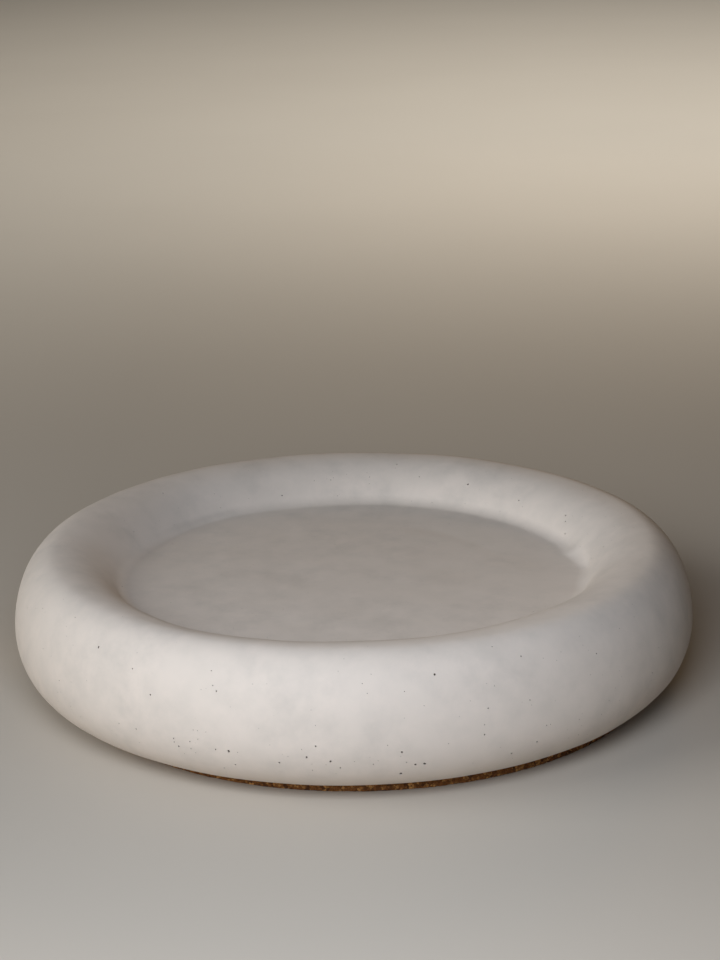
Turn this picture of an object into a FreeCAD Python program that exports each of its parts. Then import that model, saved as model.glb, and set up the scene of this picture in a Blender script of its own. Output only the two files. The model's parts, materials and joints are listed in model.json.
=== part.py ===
import FreeCAD, Part
import math
import os

# A round plaster mould: one solid cast body with a fat rounded rim round a shallow flat recess,
# glued a little off centre to a disc of cork sheet that it rests on.
# Millimetres, +Z up. The origin is on the cast body's axis, at the underside of the cork.

# Cork sheet and the adhesive that holds it
cork_thickness = 3.2
cork_radius = 85.6
cork_offset = 2.0
glue_thickness = 0.3
glue_edge_inset = 0.8

# Cast body
outer_radius = 100.0
widest_height = 20.0
crown_radius = 86.8
rim_height = 41.6
recess_floor_height = 30.1
recess_wall_reach = 18.9
recess_wall_depth = 17.7
recess_corner_fillet = 5.0

# Worked out from the dimensions above
base_height = cork_thickness + glue_thickness
glue_radius = cork_radius - glue_edge_inset
recess_wall_centre_height = rim_height - recess_wall_depth

QUARTER_TURN = math.pi / 2
FULL_TURN_DEGREES = 360
AXIS_POINT = FreeCAD.Vector(0, 0, 0)
UP = FreeCAD.Vector(0, 0, 1)
# How far an edge's height may be from the recess floor and still be its corner
HEIGHT_TOLERANCE = 1e-4


def section_point(radius, height):
    """A point of the half section, which lies in the XZ plane."""
    return FreeCAD.Vector(radius, 0, height)


def ellipse_arc(major_end, minor_end, centre, first_angle=0.0):
    """The arc of an ellipse up to its minor axis end, from first_angle past its major axis end."""
    ellipse = Part.Ellipse(major_end, minor_end, centre)
    return Part.ArcOfEllipse(ellipse, first_angle, QUARTER_TURN).toShape()


def body_outline():
    """Half section of the cast body: flat base, two outer quarters, recess wall, recess floor."""
    axis_bottom = section_point(0, base_height)
    axis_top = section_point(0, recess_floor_height)
    base_edge = section_point(crown_radius, base_height)
    widest = section_point(outer_radius, widest_height)
    crown = section_point(crown_radius, rim_height)
    outer_centre = section_point(crown_radius, widest_height)
    wall_centre = section_point(crown_radius, recess_wall_centre_height)
    wall_side = section_point(crown_radius - recess_wall_reach, recess_wall_centre_height)

    rise_to_floor = recess_floor_height - recess_wall_centre_height
    floor_angle = math.asin(rise_to_floor / recess_wall_depth)
    corner_radius = crown_radius - recess_wall_reach * math.cos(floor_angle)
    floor_corner = section_point(corner_radius, recess_floor_height)

    base = Part.LineSegment(axis_bottom, base_edge).toShape()
    lower_outer = ellipse_arc(base_edge, widest, outer_centre)
    upper_outer = ellipse_arc(crown, widest, outer_centre)
    recess_wall = ellipse_arc(wall_side, crown, wall_centre, floor_angle)
    recess_floor = Part.LineSegment(floor_corner, axis_top).toShape()
    axis_line = Part.LineSegment(axis_top, axis_bottom).toShape()
    return Part.Wire([base, lower_outer, upper_outer, recess_wall, recess_floor, axis_line])


def is_recess_corner(edge):
    """Whether an edge is the circle where the recess wall meets the floor."""
    box = edge.BoundBox
    level = box.ZLength < HEIGHT_TOLERANCE
    return level and abs(box.ZMin - recess_floor_height) < HEIGHT_TOLERANCE


def mould_body():
    """The cast body: its half section turned about the axis, with the recess corner eased."""
    turned = Part.Face(body_outline()).revolve(AXIS_POINT, UP, FULL_TURN_DEGREES)
    corners = [edge for edge in turned.Edges if is_recess_corner(edge)]
    return turned.makeFillet(recess_corner_fillet, corners)


def glue_layer():
    """The film of contact adhesive between the cork and the flat base of the cast body."""
    return Part.makeCylinder(glue_radius, glue_thickness, section_point(cork_offset, cork_thickness))


def cork_base():
    """The disc of cork sheet that the mould stands on, off the axis by the gluing error."""
    return Part.makeCylinder(cork_radius, cork_thickness, section_point(cork_offset, 0))


os.makedirs("parts", exist_ok=True)
subparts = {
    "mould_body": mould_body(),
    "glue_layer": glue_layer(),
    "cork_base": cork_base(),
}
for node, shape in subparts.items():
    shape.exportStep("parts/" + node + ".step")
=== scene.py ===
import json
import math
import bpy
import numpy as np
from mathutils import Matrix, Vector


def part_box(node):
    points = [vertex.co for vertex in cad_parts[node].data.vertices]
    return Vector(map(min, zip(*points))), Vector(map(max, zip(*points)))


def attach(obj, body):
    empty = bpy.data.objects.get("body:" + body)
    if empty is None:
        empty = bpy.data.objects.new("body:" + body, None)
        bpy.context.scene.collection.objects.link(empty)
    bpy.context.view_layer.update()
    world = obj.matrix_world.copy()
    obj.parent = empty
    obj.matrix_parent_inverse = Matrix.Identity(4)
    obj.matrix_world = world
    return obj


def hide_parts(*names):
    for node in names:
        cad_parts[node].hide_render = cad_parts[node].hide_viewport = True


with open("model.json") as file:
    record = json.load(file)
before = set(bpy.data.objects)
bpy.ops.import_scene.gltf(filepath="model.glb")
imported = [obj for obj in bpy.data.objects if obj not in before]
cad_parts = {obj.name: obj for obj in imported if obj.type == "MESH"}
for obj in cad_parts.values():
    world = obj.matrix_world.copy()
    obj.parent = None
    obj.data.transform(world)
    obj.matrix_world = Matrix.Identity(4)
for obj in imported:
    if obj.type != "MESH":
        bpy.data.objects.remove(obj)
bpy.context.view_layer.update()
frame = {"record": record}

# ---------------------------------------------------------------------------
# The cast body. One solid of gypsum plaster, poured into a smooth form: a fat rounded rim round a
# shallow flat recess. Air bubbles left pinholes in it, and it was rubbed down by hand, so its
# surface is a little uneven and its recess isn't quite round.
# ---------------------------------------------------------------------------
MM = 0.001
scene = bpy.context.scene
body_low, body_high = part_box("mould_body")
mounts = {mount["name"]: mount for mount in frame["record"]["mounts"]}
RIM_HEIGHT = body_high.z
BASE_HEIGHT = body_low.z
FLOOR_HEIGHT = mounts["recess_floor"]["pos_m"][2]
WIDEST_HEIGHT = 20.0 * MM
CROWN_RADIUS = 86.8 * MM
WALL_REACH = 18.9 * MM
WALL_DEPTH = 17.7 * MM
CORNER_FILLET = 5.0 * MM

# The surface is made this much small, so that its unevenness stays inside the true size. The top
# goes down by it over a run-in above the widest height.
FINISHING_LOSS = 0.2 * MM
FINISHING_RUN_IN = 10 * MM
OUTER_RADIUS = body_high.x - FINISHING_LOSS

# The lumps and hollows that rubbing by hand leaves, which fade out at the flat underside
LUMP_HEIGHT = 0.2 * MM
LUMP_WIDTHS = (16 * MM, 60 * MM)
LUMP_RUN_IN = 2 * MM
LUMP_SEED = 3

# Columns of the grid round the axis, and its rings on each part of the half section
AROUND = 512
UNDERSIDE_RINGS = 16
WALL_RINGS = 23
FILLET_RINGS = 8
FLOOR_RINGS = 46


def cast_profile():
    """Half section of the body as radius and height, from the middle of the underside outwards,
    up the outside, over the crown, down the recess wall and in to the middle of the recess floor.
    Each wall is a quarter ellipse, and the recess corner is an arc tangent to wall and floor."""
    half_width = OUTER_RADIUS - CROWN_RADIUS
    outward = np.linspace(0, 1, UNDERSIDE_RINGS, endpoint=False)
    underside = np.stack([outward * CROWN_RADIUS, np.full(UNDERSIDE_RINGS, BASE_HEIGHT)])
    turn = np.linspace(0, math.pi / 2, WALL_RINGS, endpoint=False)
    lower = np.stack([CROWN_RADIUS + half_width * np.sin(turn),
                      WIDEST_HEIGHT - (WIDEST_HEIGHT - BASE_HEIGHT) * np.cos(turn)])
    upper = np.stack([CROWN_RADIUS + half_width * np.cos(turn),
                      WIDEST_HEIGHT + (RIM_HEIGHT - WIDEST_HEIGHT) * np.sin(turn)])

    def wall(angle):
        """Points of the recess wall's ellipse, and its normals, at angles from the crown."""
        point = np.stack([CROWN_RADIUS - WALL_REACH * np.sin(angle),
                          RIM_HEIGHT - WALL_DEPTH * (1 - np.cos(angle))])
        normal = np.stack([-np.sin(angle) / WALL_REACH, np.cos(angle) / WALL_DEPTH])
        return point, normal / np.linalg.norm(normal, axis=0)

    # The fillet's centre is where the wall, moved out by the fillet's radius, is that far above
    # the floor
    fine_steps = 2000
    fine = np.linspace(0, math.pi / 2, fine_steps)
    fine_point, fine_normal = wall(fine)
    centre_height = fine_point[1] + CORNER_FILLET * fine_normal[1]
    touch = np.interp(-(FLOOR_HEIGHT + CORNER_FILLET), -centre_height, fine)
    recess_wall, _ = wall(np.linspace(0, touch, WALL_RINGS, endpoint=False))
    touch_point, touch_normal = wall(touch)
    centre = touch_point + CORNER_FILLET * touch_normal
    start = math.atan2(-touch_normal[1], -touch_normal[0])
    sweep = np.linspace(start, -math.pi / 2, FILLET_RINGS, endpoint=False)
    fillet = centre[:, None] + CORNER_FILLET * np.stack([np.cos(sweep), np.sin(sweep)])
    inward = np.linspace(1, 0, FLOOR_RINGS)
    floor = np.stack([centre[0] * inward, np.full(FLOOR_RINGS, FLOOR_HEIGHT)])
    return np.concatenate([underside, lower, upper, recess_wall, fillet, floor], axis=1)


def turned(profile, columns):
    """A half section turned about the Z axis: a grid of points, one row a ring, one column an
    azimuth, and the outward normal at each."""
    run = np.gradient(profile, axis=1)
    normal = np.stack([run[1], -run[0]]) / np.linalg.norm(run, axis=0)
    azimuth = np.arange(columns) * 2 * math.pi / columns
    rows = np.ones(columns)
    points = np.stack([profile[0][:, None] * np.cos(azimuth),
                       profile[0][:, None] * np.sin(azimuth),
                       profile[1][:, None] * rows], axis=-1)
    normals = np.stack([normal[0][:, None] * np.cos(azimuth),
                        normal[0][:, None] * np.sin(azimuth),
                        normal[1][:, None] * rows], axis=-1)
    return points, normals


def plane_waves(points, seed, widths, count=24):
    """Smooth random unevenness, mostly within one either way: a sum of plane waves that run in
    random directions, each as long as a width drawn between the two given."""
    rng = np.random.default_rng(seed)
    direction = rng.normal(size=(count, 3))
    direction /= np.linalg.norm(direction, axis=1, keepdims=True)
    length = rng.uniform(*widths, size=count)
    phase = rng.uniform(0, 2 * math.pi, size=count)
    waves = np.sin(points @ (direction / length[:, None]).T * 2 * math.pi + phase)
    return waves.sum(axis=-1) / count * 2


def smooth_step(value):
    """Zero up to 0, one from 1, and a smooth S between them."""
    clipped = np.clip(value, 0, 1)
    return clipped * clipped * (3 - 2 * clipped)


# Where the recess leaves its circle: azimuth and spread in degrees, and how far outwards. The first
# list moves the whole recess wall, the second only the corner at its foot, where plaster was dragged
# when the model was lifted out.
WALL_BULGES = (
    (131, 13, 1.2 * MM),
    (40, 60, -0.5 * MM),
    (236, 16, 1.2 * MM),
    (306, 18, -0.9 * MM),
)
CORNER_BULGES = (
    (12.5, 2.8, -1.2 * MM),
    (1, 4, 1.0 * MM),
    (-9, 3, -0.4 * MM),
    (22, 4, 0.3 * MM),
)
BULGE_RUN_IN = 5 * MM
BULGE_AXIS_FADE = 6
CORNER_HEIGHT = 4 * MM


def bell_sum(azimuth, bells):
    """The sum of bell curves over azimuth, each with its middle, spread and height."""
    total = np.zeros_like(azimuth)
    for middle, spread, height in bells:
        away = (azimuth - middle + 180) % 360 - 180
        total += height * np.exp(-(away / spread) ** 2)
    return total


def uneven_recess(points):
    """The recess moved outwards and inwards by the bulges. The move is nothing outside the crown,
    whole on the recess wall, and fades as a power of the radius towards the axis."""
    radius = np.linalg.norm(points[..., :2], axis=-1)
    azimuth = np.degrees(np.arctan2(points[..., 1], points[..., 0]))
    near_corner = smooth_step(1 - (points[..., 2] - FLOOR_HEIGHT) / CORNER_HEIGHT)
    shift = bell_sum(azimuth, WALL_BULGES) + near_corner * bell_sum(azimuth, CORNER_BULGES)
    above_floor = points[..., 2] > FLOOR_HEIGHT - MM
    inside = smooth_step((CROWN_RADIUS - radius) / BULGE_RUN_IN) * above_floor
    to_axis = np.clip(radius / (CROWN_RADIUS - WALL_REACH), 0, 1) ** BULGE_AXIS_FADE
    moved = points.copy()
    moved[..., :2] *= 1 + (shift * inside * to_axis / np.maximum(radius, MM))[..., None]
    return moved


# Faint marks of the hand in the recess, each along an arc: its middle and half length in degrees,
# its radius, its width and how high it stands
HAND_MARKS = (
    (138, 22, 69.3 * MM, 1.0 * MM, 0.32 * MM),
    (45, 34, 46.0 * MM, 2.6 * MM, -0.12 * MM),
    (250, 26, 38.0 * MM, 4.0 * MM, 0.05 * MM),
)


def hand_marks(points):
    """How high the marks stand: across its arc each is a bell curve, and along it, it fades out."""
    radius = np.linalg.norm(points[..., :2], axis=-1)
    azimuth = np.degrees(np.arctan2(points[..., 1], points[..., 0]))
    height = np.zeros_like(radius)
    for middle, half_length, mark_radius, width, stand in HAND_MARKS:
        away = np.abs((azimuth - middle + 180) % 360 - 180)
        along = smooth_step(2 * (1 - away / half_length))
        height += stand * along * np.exp(-((radius - mark_radius) / width) ** 2)
    return height


profile = cast_profile()
cast_points, cast_normals = turned(profile, AROUND)
first_wall_ring = UNDERSIDE_RINGS
first_recess_ring = first_wall_ring + 2 * WALL_RINGS
first_floor_ring = first_recess_ring + WALL_RINGS + FILLET_RINGS
lump = LUMP_HEIGHT * plane_waves(cast_points, LUMP_SEED, LUMP_WIDTHS)
lump *= smooth_step((cast_points[..., 2] - BASE_HEIGHT) / LUMP_RUN_IN)
cast_points = uneven_recess(cast_points) + cast_normals * lump[..., None]
cast_points[first_recess_ring:, :, 2] += hand_marks(cast_points[first_recess_ring:])
above_widest = (cast_points[..., 2] - WIDEST_HEIGHT) / FINISHING_RUN_IN
cast_points[..., 2] -= FINISHING_LOSS * smooth_step(above_widest)

# The larger bubbles: azimuth in degrees, height and width of the hole in mm. They gather low on the
# outside, and the second list is on the recess wall.
LARGE_BUBBLES_OUTSIDE = (
    (276, 9.9, 0.85), (280, 12.7, 0.75), (278.6, 12.2, 0.65), (250, 15.9, 0.7), (266, 14.1, 0.6),
    (276, 16.6, 0.55), (262, 15.8, 0.55), (282, 35.9, 0.6), (224, 34.9, 0.6), (258, 13.5, 0.5),
    (294, 11.6, 0.55), (242, 14.5, 0.5), (298, 13.5, 0.45), (237, 27.4, 0.45), (216, 21.5, 0.45),
    (251, 11.6, 0.45), (234, 16.1, 0.4), (289, 18.9, 0.4), (297, 36.8, 0.4), (40, 12.0, 0.7),
    (121, 10.5, 0.8), (163, 14.0, 0.6), (88, 15.0, 0.5), (352, 13.0, 0.7), (19, 27.0, 0.5),
)
LARGE_BUBBLES_INSIDE = (
    (59, 37.4, 0.6), (79, 40.4, 0.5), (25, 37.0, 0.5), (0, 37.7, 0.45), (108, 33.7, 0.4),
    (43, 36.4, 0.4), (186, 30.9, 0.6), (318, 37.5, 0.4),
)

# The small ones: how many are outside, on the recess wall and on the recess floor, and how wide,
# from the least by up to the spread. Of those outside, the low share gathers about a level, and the
# rest lie between the two levels.
SMALL_OUTSIDE = 260
SMALL_ON_WALL = 40
SMALL_ON_FLOOR = 24
SMALL_LEAST = 0.2
SMALL_SPREAD = 0.26
LOW_SHARE = 0.55
LOW_LEVEL, LOW_LEVEL_SPREAD = 14, 2.6
OUTSIDE_LEVELS = (6, 41)
WALL_LEVELS = (31, 41)
BUBBLE_SEED = 11

# A bubble's bowl: how wide and how deep each of its rings is, in the hole's radius, from the hole's
# edge to the bottom
BOWL_RINGS = ((1.0, 0.0), (1.05, 0.9), (0.8, 2.2))
BOWL_BOTTOM = 2.8
BUBBLE_SIDES = 12
BUBBLE_SHARE_OF_CELL = 0.86
BUBBLE_WOBBLE = 0.12
WOBBLE_SEED = 5


def cell_at(azimuth, height, outside):
    """The grid cells, as ring and column, nearest to these azimuths in degrees and heights in mm."""
    first, last = first_wall_ring, first_recess_ring
    if not outside:
        first, last = first_recess_ring, first_floor_ring
    away = np.abs(profile[1][first:last, None] - np.asarray(height) * MM)
    ring = first + away.argmin(axis=0)
    column = np.round(np.asarray(azimuth) / 360 * AROUND).astype(int) % AROUND
    return ring, column


def bubble_cells():
    """The cells that hold a bubble and the width of each hole: the larger ones where they are
    listed, and the small ones scattered, most of them low on the outside."""
    rng = np.random.default_rng(BUBBLE_SEED)
    outside = np.array(LARGE_BUBBLES_OUTSIDE)
    inside = np.array(LARGE_BUBBLES_INSIDE)
    low = rng.uniform(size=SMALL_OUTSIDE) < LOW_SHARE
    gathered = rng.normal(LOW_LEVEL, LOW_LEVEL_SPREAD, SMALL_OUTSIDE)
    level = np.where(low, gathered, rng.uniform(*OUTSIDE_LEVELS, SMALL_OUTSIDE))
    outer_floor = (first_floor_ring, first_floor_ring + FLOOR_RINGS // 2)
    rings, columns = zip(
        cell_at(outside[:, 0], outside[:, 1], True),
        cell_at(inside[:, 0], inside[:, 1], False),
        cell_at(rng.uniform(0, 360, SMALL_OUTSIDE), level, True),
        cell_at(rng.uniform(0, 360, SMALL_ON_WALL), rng.uniform(*WALL_LEVELS, SMALL_ON_WALL), False),
        (rng.integers(*outer_floor, SMALL_ON_FLOOR), rng.integers(0, AROUND, SMALL_ON_FLOOR)),
    )
    count = SMALL_OUTSIDE + SMALL_ON_WALL + SMALL_ON_FLOOR
    small = SMALL_LEAST + SMALL_SPREAD * rng.uniform(size=count) ** 2
    width = np.concatenate([outside[:, 2], inside[:, 2], small]) * MM
    cell = np.concatenate(rings) * AROUND + np.concatenate(columns)
    cell, first = np.unique(cell, return_index=True)
    return cell, width[first]


def ring_faces(rings, columns):
    """Quads between neighbouring rings of a grid that closes on itself around the axis."""
    cell = np.arange((rings - 1) * columns)
    column = cell % columns
    across = cell - column + (column + 1) % columns
    return np.stack([cell, across, across + columns, cell + columns], axis=-1)


def cast_mesh():
    """The cast's faces: a quad for each grid cell, and in a bubble's cell a round hole that goes
    down as a bowl. The bowl is rings of points about the cell's middle, narrower with depth."""
    quads = ring_faces(len(cast_points), AROUND)
    holes, width = bubble_cells()
    solid = np.ones(len(quads), bool)
    solid[holes] = False

    corner = cast_points.reshape(-1, 3)[quads[holes]]
    middle_normal = cast_normals.reshape(-1, 3)[quads[holes]].mean(axis=1)
    cell_width = np.linalg.norm(corner[:, 1] - corner[:, 0], axis=-1)
    cell_height = np.linalg.norm(corner[:, 3] - corner[:, 0], axis=-1)
    radius = np.minimum(width, BUBBLE_SHARE_OF_CELL * np.minimum(cell_width, cell_height)) / 2
    angle = np.radians(-135) + np.arange(BUBBLE_SIDES) * 2 * math.pi / BUBBLE_SIDES
    rng = np.random.default_rng(WOBBLE_SEED)
    phase = rng.uniform(0, 6, (len(holes), 1))
    wobble = 1 + BUBBLE_WOBBLE * np.cos(2 * angle + phase)

    def ring_points(scale, depth):
        """A ring in each bubble's cell, found by blending the cell's four corners. Its scale and
        its depth below the surface are counted in the hole's radius."""
        along = 0.5 + (radius / cell_width)[:, None] * scale * wobble * np.cos(angle)
        up = 0.5 + (radius / cell_height)[:, None] * scale * wobble * np.sin(angle)
        weights = np.stack([(1 - along) * (1 - up), along * (1 - up),
                            along * up, (1 - along) * up], axis=-1)
        return weights @ corner - (depth * radius)[:, None, None] * middle_normal[:, None]

    bowl = np.concatenate([ring_points(scale, depth) for scale, depth in BOWL_RINGS]
                          + [ring_points(0.0, BOWL_BOTTOM)[:, :1]], axis=1)
    first = cast_points.shape[0] * AROUND + np.arange(len(holes))[:, None] * bowl.shape[1]
    side = np.arange(BUBBLE_SIDES)
    after = (side + 1) % BUBBLE_SIDES
    levels = range(len(BOWL_RINGS))
    rim, inner, deep = (first + side + BUBBLE_SIDES * level for level in levels)
    rim_after, inner_after, deep_after = (first + after + BUBBLE_SIDES * level for level in levels)
    bottom = np.broadcast_to(first + BUBBLE_SIDES * len(BOWL_RINGS), rim.shape)

    # Of the hole's twelve sides, each corner of the cell joins the two nearest to it, and each edge
    # of the cell joins the one between
    corners = quads[holes]
    nearest = np.array([0, 0, 1, 1, 1, 2, 2, 2, 3, 3, 3, 0])
    fan = np.stack([corners[:, nearest], rim_after, rim], axis=-1)
    between = np.array([1, 4, 7, 10])
    bridge = np.stack([corners, np.roll(corners, -1, axis=1),
                       rim_after[:, between], rim[:, between]], axis=-1)
    fan = np.delete(fan, between, axis=1)
    walls = np.concatenate([np.stack([rim, rim_after, inner_after, inner], axis=-1),
                            np.stack([inner, inner_after, deep_after, deep], axis=-1)], axis=1)
    bottoms = np.stack([deep, deep_after, bottom], axis=-1)
    points = np.concatenate([cast_points.reshape(-1, 3), bowl.reshape(-1, 3)])
    faces = [quads[solid], bridge.reshape(-1, 4), walls.reshape(-1, 4),
             fan.reshape(-1, 3), bottoms.reshape(-1, 3)]
    # Points below a bubble's rim get a mark of one, where the plaster material paints the shade inside the
    # hole
    bubble_painted_shade = np.zeros(len(points))
    bubble_painted_shade[np.concatenate([inner.ravel(), deep.ravel(), bottom.ravel()])] = 1
    return points, faces, np.stack([rim, rim_after], axis=-1).reshape(-1, 2), bubble_painted_shade


def add_mesh(name, points, faces, sharp=(), marks=None):
    """A new smooth-shaded object with this mesh. faces is a list of arrays of corner indices.
    Points that fall on each other, as at a pole, become one, and a quad that loses a side there
    becomes a triangle. The edges between the pairs of points in sharp stay crisp, and marks holds
    arrays of one value a point, by name."""
    same_place = 1e-5 * MM
    places = np.round(points / same_place).astype(np.int64)
    _, kept, merged = np.unique(places, axis=0, return_index=True, return_inverse=True)
    merged = merged.reshape(-1)
    corners = []
    for block in faces:
        block = merged[block]
        if block.shape[1] == 4:
            no_start = block[:, 0] == block[:, 1]
            no_end = block[:, 2] == block[:, 3]
            corners += block[no_start, 1:].tolist() + block[no_end, :3].tolist()
            block = block[~(no_start | no_end)]
        corners += block.tolist()
    mesh = bpy.data.meshes.new(name)
    mesh.from_pydata(points[kept], [], corners)
    mesh.shade_smooth()
    if len(sharp):
        ends = np.empty(len(mesh.edges) * 2, int)
        mesh.edges.foreach_get("vertices", ends)
        ends = np.sort(ends.reshape(-1, 2), axis=1)
        sharp = np.sort(merged[sharp], axis=1)
        crisp = np.isin(ends @ (len(points), 1), sharp @ (len(points), 1))
        mesh.attributes.new("sharp_edge", "BOOLEAN", "EDGE").data.foreach_set("value", crisp)
    for mark, values in (marks or {}).items():
        mesh.attributes.new(mark, "FLOAT", "POINT").data.foreach_set("value", values[kept])
    piece = bpy.data.objects.new(name, mesh)
    scene.collection.objects.link(piece)
    return piece


cast_vertices, cast_faces, bubble_rims, bubble_painted_shade = cast_mesh()
plaster_cast = add_mesh("plaster_cast", cast_vertices, cast_faces, bubble_rims,
                        {"bubble": bubble_painted_shade})
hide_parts("mould_body")
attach(plaster_cast, "root")


def linear(hex_colour):
    """An sRGB hex colour as the linear colour that a shader takes."""
    srgb = np.array([int(hex_colour[i:i + 2], 16) for i in (1, 3, 5)]) / 255
    channels = np.where(srgb <= 0.04045, srgb / 12.92, ((srgb + 0.055) / 1.055) ** 2.4)
    return (*channels.tolist(), 1.0)


def add_node(material, kind, settings=None, values=None, links=None):
    """Adds one shader node. settings are its own properties, values are constants for its sockets,
    and links feed its sockets, each from a node and the name of that node's output."""
    node = material.node_tree.nodes.new(kind)
    for name, value in (settings or {}).items():
        setattr(node, name, value)
    for socket, value in (values or {}).items():
        node.inputs[socket].default_value = value
    for socket, (source, output) in (links or {}).items():
        material.node_tree.links.new(source.outputs[output], node.inputs[socket])
    return node


# Socket places of a colour Mix node, whose names repeat for each kind of data
MIX_A, MIX_B, MIX_RESULT = 6, 7, 2


def sealed_plaster():
    """Cast gypsum plaster, rubbed smooth and sealed matt: chalky warm white with faint lighter and
    darker clouds where it dried unevenly, and a dull soft sheen. Painted shade darkens tiny dots,
    for pores too small to model, and the inside of each bubble hole below its rim. Its grain, which
    is finer than 0.1 mm, is drawn at 0.45 mm so that it shows."""
    cloud_width = 22 * MM
    blotch_width = 7 * MM
    pore_spacing = 3.2 * MM
    grain_width = 0.45 * MM
    material = bpy.data.materials.new("sealed_cast_plaster")
    material.use_nodes = True
    shader = material.node_tree.nodes["Principled BSDF"]
    place = add_node(material, "ShaderNodeTexCoord")
    cloud = add_node(material, "ShaderNodeTexNoise", values={"Scale": 1 / cloud_width, "Detail": 3.0,
                     "Roughness": 0.55, "Distortion": 0.6}, links={"Vector": (place, "Object")})
    blotch = add_node(material, "ShaderNodeTexNoise", values={"Scale": 1 / blotch_width, "Detail": 4.0,
                      "Roughness": 0.6}, links={"Vector": (place, "Object")})
    grain = add_node(material, "ShaderNodeTexNoise", values={"Scale": 1 / grain_width, "Detail": 2.0},
                     links={"Vector": (place, "Object")})
    cloud_step = add_node(material, "ShaderNodeMapRange", values={"From Min": 0.35, "From Max": 0.65},
                          links={"Value": (cloud, "Fac")})
    blotch_step = add_node(material, "ShaderNodeMapRange", values={"From Min": 0.3, "From Max": 0.7},
                           links={"Value": (blotch, "Fac")})
    clouds = add_node(material, "ShaderNodeMix", {"data_type": "RGBA"},
                      {MIX_A: linear("#dcd1c5"), MIX_B: linear("#d1c7bc")},
                      {"Factor": (cloud_step, "Result")})
    blotches = add_node(material, "ShaderNodeMix", {"data_type": "RGBA"}, {MIX_B: linear("#e0d4c8")},
                        {"Factor": (blotch_step, "Result"), MIX_A: (clouds, MIX_RESULT)})
    # Painted shade: tiny dark dots stand in for the shade in pores too small to model
    pores = add_node(material, "ShaderNodeTexVoronoi", values={"Scale": 1 / pore_spacing},
                     links={"Vector": (place, "Object")})
    painted_pore_shade = add_node(material, "ShaderNodeMapRange", values={"From Min": 0.03, "From Max": 0.055,
                         "To Min": 0.5, "To Max": 0.0}, links={"Value": (pores, "Distance")})
    with_pore_shade = add_node(material, "ShaderNodeMix", {"data_type": "RGBA"}, {MIX_B: linear("#8b8177")},
                     {"Factor": (painted_pore_shade, "Result"), MIX_A: (blotches, MIX_RESULT)})
    # Painted shade: the inside of each bubble hole, marked below its rim, is darkened
    bubble = add_node(material, "ShaderNodeAttribute", {"attribute_name": "bubble"})
    coloured = add_node(material, "ShaderNodeMix", {"data_type": "RGBA"}, {MIX_B: linear("#6b6055")},
                        {"Factor": (bubble, "Fac"), MIX_A: (with_pore_shade, MIX_RESULT)})
    rough = add_node(material, "ShaderNodeMapRange", values={"To Min": 0.62, "To Max": 0.8},
                     links={"Value": (blotch, "Fac")})
    fine_bump = add_node(material, "ShaderNodeBump", values={"Strength": 0.25, "Distance": 0.03 * MM},
                         links={"Height": (grain, "Fac")})
    bump = add_node(material, "ShaderNodeBump", values={"Strength": 0.35, "Distance": 0.12 * MM},
                    links={"Height": (blotch, "Fac"), "Normal": (fine_bump, "Normal")})
    links = material.node_tree.links
    links.new(coloured.outputs[MIX_RESULT], shader.inputs["Base Color"])
    links.new(rough.outputs["Result"], shader.inputs["Roughness"])
    links.new(bump.outputs["Normal"], shader.inputs["Normal"])
    shader.inputs["IOR"].default_value = 1.5
    return material


plaster_cast.data.materials.append(sealed_plaster())

# ---------------------------------------------------------------------------
# The glue. A film of contact adhesive, brushed on the cork and pressed, which holds the cork under
# the cast. It stops a little short of the cork's edge, along a wavy line with a rounded lip.
# ---------------------------------------------------------------------------
glue_low, glue_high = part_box("glue_layer")
GLUE_WANDER = 0.35 * MM
GLUE_WAVES = ((17, 0), (41, 1), (67, 4))
GLUE_AROUND = 360
GLUE_RINGS = 8
GLUE_LIP_STEPS = 7
glue_middle = (glue_low + glue_high) / 2


def glue_mesh():
    """A thin disc with a half-round edge. Its profile is the lower face, the edge and the upper
    face, and its radius wanders as a mean of waves, each with its count round the disc and phase."""
    half = (glue_high.z - glue_low.z) / 2
    flat_radius = glue_high.y - half - GLUE_WANDER
    outward = np.linspace(0, flat_radius, GLUE_RINGS, endpoint=False)
    turn = np.linspace(-math.pi / 2, math.pi / 2, GLUE_LIP_STEPS)
    radius = np.concatenate([outward, flat_radius + half * np.cos(turn), outward[::-1]])
    flat = np.ones(GLUE_RINGS)
    height = glue_low.z + half + half * np.concatenate([-flat, np.sin(turn), flat])
    points, _ = turned(np.stack([radius, height]), GLUE_AROUND)
    azimuth = np.arange(GLUE_AROUND) * 2 * math.pi / GLUE_AROUND
    waves = sum(np.sin(count * azimuth + phase) for count, phase in GLUE_WAVES)
    wander = GLUE_WANDER * waves / len(GLUE_WAVES)
    points[..., :2] *= (1 + wander / flat_radius)[None, :, None]
    points[..., 0] += glue_middle.x
    return points


glue_points = glue_mesh()
glue_film = add_mesh("glue_film", glue_points.reshape(-1, 3),
                     [ring_faces(len(glue_points), GLUE_AROUND)])
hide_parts("glue_layer")
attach(glue_film, "root")


def contact_adhesive():
    """Dried contact adhesive: an amber rubbery film, clouded by brush marks, with a dull gloss."""
    material = bpy.data.materials.new("dried_contact_adhesive")
    material.use_nodes = True
    shader = material.node_tree.nodes["Principled BSDF"]
    brush_mark_width = 4 * MM
    place = add_node(material, "ShaderNodeTexCoord")
    marks = add_node(material, "ShaderNodeTexNoise", values={"Scale": 1 / brush_mark_width, "Detail": 4.0},
                     links={"Vector": (place, "Object")})
    amber = add_node(material, "ShaderNodeMix", {"data_type": "RGBA"},
                     {MIX_A: linear("#6d4a26"), MIX_B: linear("#a37a45")}, {"Factor": (marks, "Fac")})
    rough = add_node(material, "ShaderNodeMapRange", values={"To Min": 0.3, "To Max": 0.55},
                     links={"Value": (marks, "Fac")})
    links = material.node_tree.links
    links.new(amber.outputs[MIX_RESULT], shader.inputs["Base Color"])
    links.new(rough.outputs["Result"], shader.inputs["Roughness"])
    return material


glue_film.data.materials.append(contact_adhesive())

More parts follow.
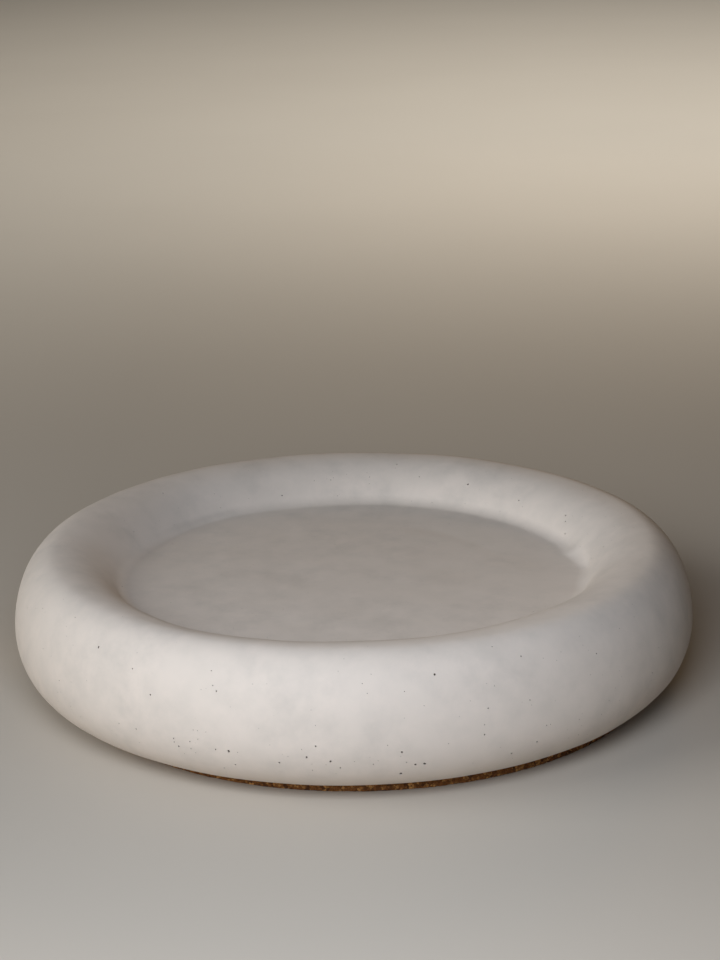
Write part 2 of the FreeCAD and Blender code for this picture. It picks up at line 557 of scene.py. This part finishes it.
# ---------------------------------------------------------------------------
# The cork. A disc cut from a sheet of pressed cork granules and glued on a little off centre. The
# knife tears granules out along the edge, so the edge is rough and pitted, and both faces are flat.
# ---------------------------------------------------------------------------
cork_low, cork_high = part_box("cork_base")
GRANULE = 0.8 * MM
CORK_AROUND = 1280
CORK_EDGE_RINGS = 10
CORK_FACE_RINGS = 16
CORK_PIT = 0.32 * MM
CORK_SEAM_SHARE = 0.25
CORK_SEAM_WIDTH = 0.25 * GRANULE
CORK_PIT_RARITY = 2.5
CORK_EDGE_BREAK = 0.1 * MM
CORK_EDGE_POWER = 8
CORK_FACE_INSET = 1.5 * MM
CORK_FACE_POWER = 0.7
CORK_SEED = 21
cork_middle = (cork_low + cork_high) / 2


def cork_points():
    """A disc whose edge is moved in by granules: each point of the edge takes the depth of the
    nearest of many seeds strewn over the edge, and the seams between granules, where the nearest
    two are equally far, go deeper. The two corners of the edge are broken a little."""
    radius = cork_high.y
    thickness = cork_high.z - cork_low.z
    outward = np.linspace(0, 1, CORK_FACE_RINGS, endpoint=False) ** CORK_FACE_POWER
    outward = outward * (radius - CORK_FACE_INSET)
    rise = np.linspace(0, 1, CORK_EDGE_RINGS)
    edge_height = cork_low.z + thickness * rise
    eased = CORK_EDGE_BREAK * (2 * rise - 1) ** CORK_EDGE_POWER
    edge_radius = radius - eased
    profile_radius = np.concatenate([outward, edge_radius, outward[::-1]])
    profile_height = np.concatenate([np.full(CORK_FACE_RINGS, cork_low.z), edge_height,
                                     np.full(CORK_FACE_RINGS, cork_high.z)])
    points, _ = turned(np.stack([profile_radius, profile_height]), CORK_AROUND)

    rng = np.random.default_rng(CORK_SEED)
    length = 2 * math.pi * radius
    seeds = int(length * thickness / GRANULE ** 2)
    seed_along = rng.uniform(0, length, seeds)
    seed_up = rng.uniform(cork_low.z, cork_high.z, seeds)
    seed_depth = rng.uniform(size=seeds) ** CORK_PIT_RARITY
    along = np.arange(CORK_AROUND) * length / CORK_AROUND
    gap = np.abs(along[:, None] - seed_along)
    gap = np.minimum(gap, length - gap)
    away = np.hypot(gap[None], (edge_height[:, None] - seed_up)[:, None, :])
    nearest = np.argpartition(away, 1, axis=-1)[..., :2]
    distance = np.take_along_axis(away, nearest, axis=-1)
    order = np.argsort(distance, axis=-1)
    distance = np.take_along_axis(distance, order, axis=-1)
    nearest = np.take_along_axis(nearest, order, axis=-1)
    seam = np.exp(-((distance[..., 1] - distance[..., 0]) / CORK_SEAM_WIDTH) ** 2)
    pit = seed_depth[nearest[..., 0]]
    depth = CORK_PIT * ((1 - CORK_SEAM_SHARE) * pit + CORK_SEAM_SHARE * seam)
    rows = slice(CORK_FACE_RINGS, CORK_FACE_RINGS + CORK_EDGE_RINGS)
    points[rows, :, :2] *= (1 - depth / radius)[..., None]
    points[..., 0] += cork_middle.x
    return points


disc_points = cork_points()
cork_disc = add_mesh("cork_disc", disc_points.reshape(-1, 3),
                     [ring_faces(len(disc_points), CORK_AROUND)])
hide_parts("cork_base")
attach(cork_disc, "root")


def pressed_cork():
    """Agglomerated cork: granules of tan to dark brown bark pressed with a dark binder, dry and
    matt, with a bright fleck or a dark pit here and there."""
    material = bpy.data.materials.new("agglomerated_cork")
    material.use_nodes = True
    shader = material.node_tree.nodes["Principled BSDF"]
    links = material.node_tree.links
    bends_per_granule = 0.6
    bend_reach = 0.7 * MM
    flecks_per_granule = 4
    place = add_node(material, "ShaderNodeTexCoord")
    bend = add_node(material, "ShaderNodeTexNoise",
                    values={"Scale": bends_per_granule / GRANULE, "Detail": 2.0},
                    links={"Vector": (place, "Object")})
    bent = add_node(material, "ShaderNodeVectorMath", {"operation": "MULTIPLY_ADD"},
                    {1: (bend_reach, bend_reach, bend_reach)},
                    {0: (bend, "Color"), 2: (place, "Object")})
    granules = add_node(material, "ShaderNodeTexVoronoi", values={"Scale": 1 / GRANULE},
                        links={"Vector": (bent, "Vector")})
    seams = add_node(material, "ShaderNodeTexVoronoi", {"feature": "DISTANCE_TO_EDGE"},
                     {"Scale": 1 / GRANULE}, {"Vector": (bent, "Vector")})
    pick = add_node(material, "ShaderNodeSeparateColor", links={"Color": (granules, "Color")})
    shade = add_node(material, "ShaderNodeValToRGB", links={"Fac": (pick, "Red")})
    ramp = shade.color_ramp
    ramp.elements[0].color = linear("#5a361a")
    ramp.elements[1].position = 0.95
    ramp.elements[1].color = linear("#d69c5a")
    ramp.elements.new(0.3).color = linear("#885528")
    ramp.elements.new(0.7).color = linear("#a46b36")
    fleck = add_node(material, "ShaderNodeTexNoise",
                     values={"Scale": flecks_per_granule / GRANULE, "Detail": 3.0},
                     links={"Vector": (place, "Object")})
    fleck_step = add_node(material, "ShaderNodeMapRange", values={"From Min": 0.3, "From Max": 0.7,
                          "To Min": 0.7, "To Max": 1.25}, links={"Value": (fleck, "Fac")})
    flecked = add_node(material, "ShaderNodeVectorMath", {"operation": "SCALE"},
                       links={0: (shade, "Color"), "Scale": (fleck_step, "Result")})
    seam_step = add_node(material, "ShaderNodeMapRange", values={"From Min": 0.02, "From Max": 0.12,
                         "To Min": 0.5, "To Max": 0.0}, links={"Value": (seams, "Distance")})
    coloured = add_node(material, "ShaderNodeMix", {"data_type": "RGBA"}, {MIX_B: linear("#3a2212")},
                        {"Factor": (seam_step, "Result"), MIX_A: (flecked, "Vector")})
    rise = add_node(material, "ShaderNodeMapRange", values={"From Min": 0.0, "From Max": 0.2},
                    links={"Value": (seams, "Distance")})
    bump = add_node(material, "ShaderNodeBump", values={"Strength": 0.6, "Distance": 0.15 * MM},
                    links={"Height": (rise, "Result")})
    links.new(coloured.outputs[MIX_RESULT], shader.inputs["Base Color"])
    links.new(bump.outputs["Normal"], shader.inputs["Normal"])
    shader.inputs["Roughness"].default_value = 0.9
    shader.inputs["IOR"].default_value = 1.4
    return material


cork_disc.data.materials.append(pressed_cork())

# ---------------------------------------------------------------------------
# The stage: a plain pale floor and soft lights. The key stands low in front, a large fill at the
# left and a weak warm one with a grid behind. The backdrop lights face away from the mould, so that
# they light only the floor round it.
# ---------------------------------------------------------------------------
FLOOR_REACH = 4.0


def pale_floor():
    """Matt emulsion paint: plain and pale, with clouds so faint that they only just show."""
    material = bpy.data.materials.new("pale_painted_floor")
    material.use_nodes = True
    shader = material.node_tree.nodes["Principled BSDF"]
    clouds_per_metre = 6.0
    place = add_node(material, "ShaderNodeTexCoord")
    cloud = add_node(material, "ShaderNodeTexNoise", values={"Scale": clouds_per_metre},
                     links={"Vector": (place, "Object")})
    tint = add_node(material, "ShaderNodeMix", {"data_type": "RGBA"},
                    {MIX_A: linear("#c4bbae"), MIX_B: linear("#c8bfb2")}, {"Factor": (cloud, "Fac")})
    material.node_tree.links.new(tint.outputs[MIX_RESULT], shader.inputs["Base Color"])
    shader.inputs["Roughness"].default_value = 0.9
    return material


floor_corners = FLOOR_REACH * np.array([(-1, -1, 0), (1, -1, 0), (1, 1, 0), (-1, 1, 0)])
floor = add_mesh("floor", floor_corners, [np.array([(0, 1, 2, 3)])])
floor.data.materials.append(pale_floor())


def add_soft_light(name, place, aim, size, power, colour, spread=180):
    """A square soft light at a place, facing the point it is aimed at, and not seen by the camera.
    Its size is in metres and its power in watts. A grid on it narrows its light to the spread, in
    degrees."""
    light = bpy.data.lights.new(name, "AREA")
    light.energy = power
    light.size = size
    light.spread = math.radians(spread)
    light.color = linear(colour)[:3]
    lamp = bpy.data.objects.new(name, light)
    lamp.location = place
    lamp.rotation_euler = (Vector(place) - Vector(aim)).to_track_quat("Z", "Y").to_euler()
    lamp.visible_camera = False
    scene.collection.objects.link(lamp)


RIM_MIDDLE = (0, 0, WIDEST_HEIGHT)
BACKDROP_COLOUR = "#fffcf6"
BACKDROP_HEIGHT = 0.85
BACKDROP_AIM = 1.8
add_soft_light("key", (-0.027, -0.356, 0.241), RIM_MIDDLE, 0.2, 1.04, "#e9f1fe")
add_soft_light("left_fill", (-1.254, -0.336, 0.544), RIM_MIDDLE, 0.9, 9.6, "#fafcfd")
add_soft_light("back_fill", (0.316, 1.180, 0.465), RIM_MIDDLE, 0.5, 0.195, "#ffd499", 55)
add_soft_light("backdrop", (0.35, 0.95, BACKDROP_HEIGHT), (0.35, 1.75, 0), 1.0, 10.0, BACKDROP_COLOUR)
add_soft_light("far_backdrop", (0.3, 1.9, 1.4), (0.3, 2.9, 0), 1.2, 9.0, BACKDROP_COLOUR)
for name, azimuth in (("left_backdrop", 180), ("front_backdrop", 255), ("right_backdrop", 330)):
    outward = Vector((math.cos(math.radians(azimuth)), math.sin(math.radians(azimuth)), 0))
    above = outward + Vector((0, 0, BACKDROP_HEIGHT))
    add_soft_light(name, above, BACKDROP_AIM * outward, 1.0, 10.0, BACKDROP_COLOUR)
world = bpy.data.worlds.new("studio")
scene.world = world
world.use_nodes = True
surround = world.node_tree.nodes["Background"]
surround.inputs["Color"].default_value = linear("#fff2e6")
surround.inputs["Strength"].default_value = 0.005

# ---------------------------------------------------------------------------
# The camera: a short telephoto, low in front, aimed above the mould so that it sits low in frame.
# ---------------------------------------------------------------------------
CAMERA_DISTANCE = 0.6636
CAMERA_ELEVATION = math.radians(22.29)
AIM_ABOVE = math.radians(3.269)
AIM_RIGHT = math.radians(0.2214)
CAMERA_ROLL = math.radians(1.075)
camera_data = bpy.data.cameras.new("camera")
camera_data.sensor_width = 36.0
camera_data.lens = 82.5
camera = bpy.data.objects.new("camera", camera_data)
camera_place = CAMERA_DISTANCE * Vector((0, -math.cos(CAMERA_ELEVATION), math.sin(CAMERA_ELEVATION)))
look_down = math.atan2(camera_place.z - WIDEST_HEIGHT, -camera_place.y)
camera_turn = (Matrix.Rotation(math.pi / 2 - look_down, 4, "X") @ Matrix.Rotation(-AIM_RIGHT, 4, "Y")
               @ Matrix.Rotation(AIM_ABOVE, 4, "X") @ Matrix.Rotation(-CAMERA_ROLL, 4, "Z"))
camera.matrix_world = Matrix.Translation(camera_place) @ camera_turn
scene.collection.objects.link(camera)
scene.camera = camera
scene.view_settings.view_transform = "Standard"
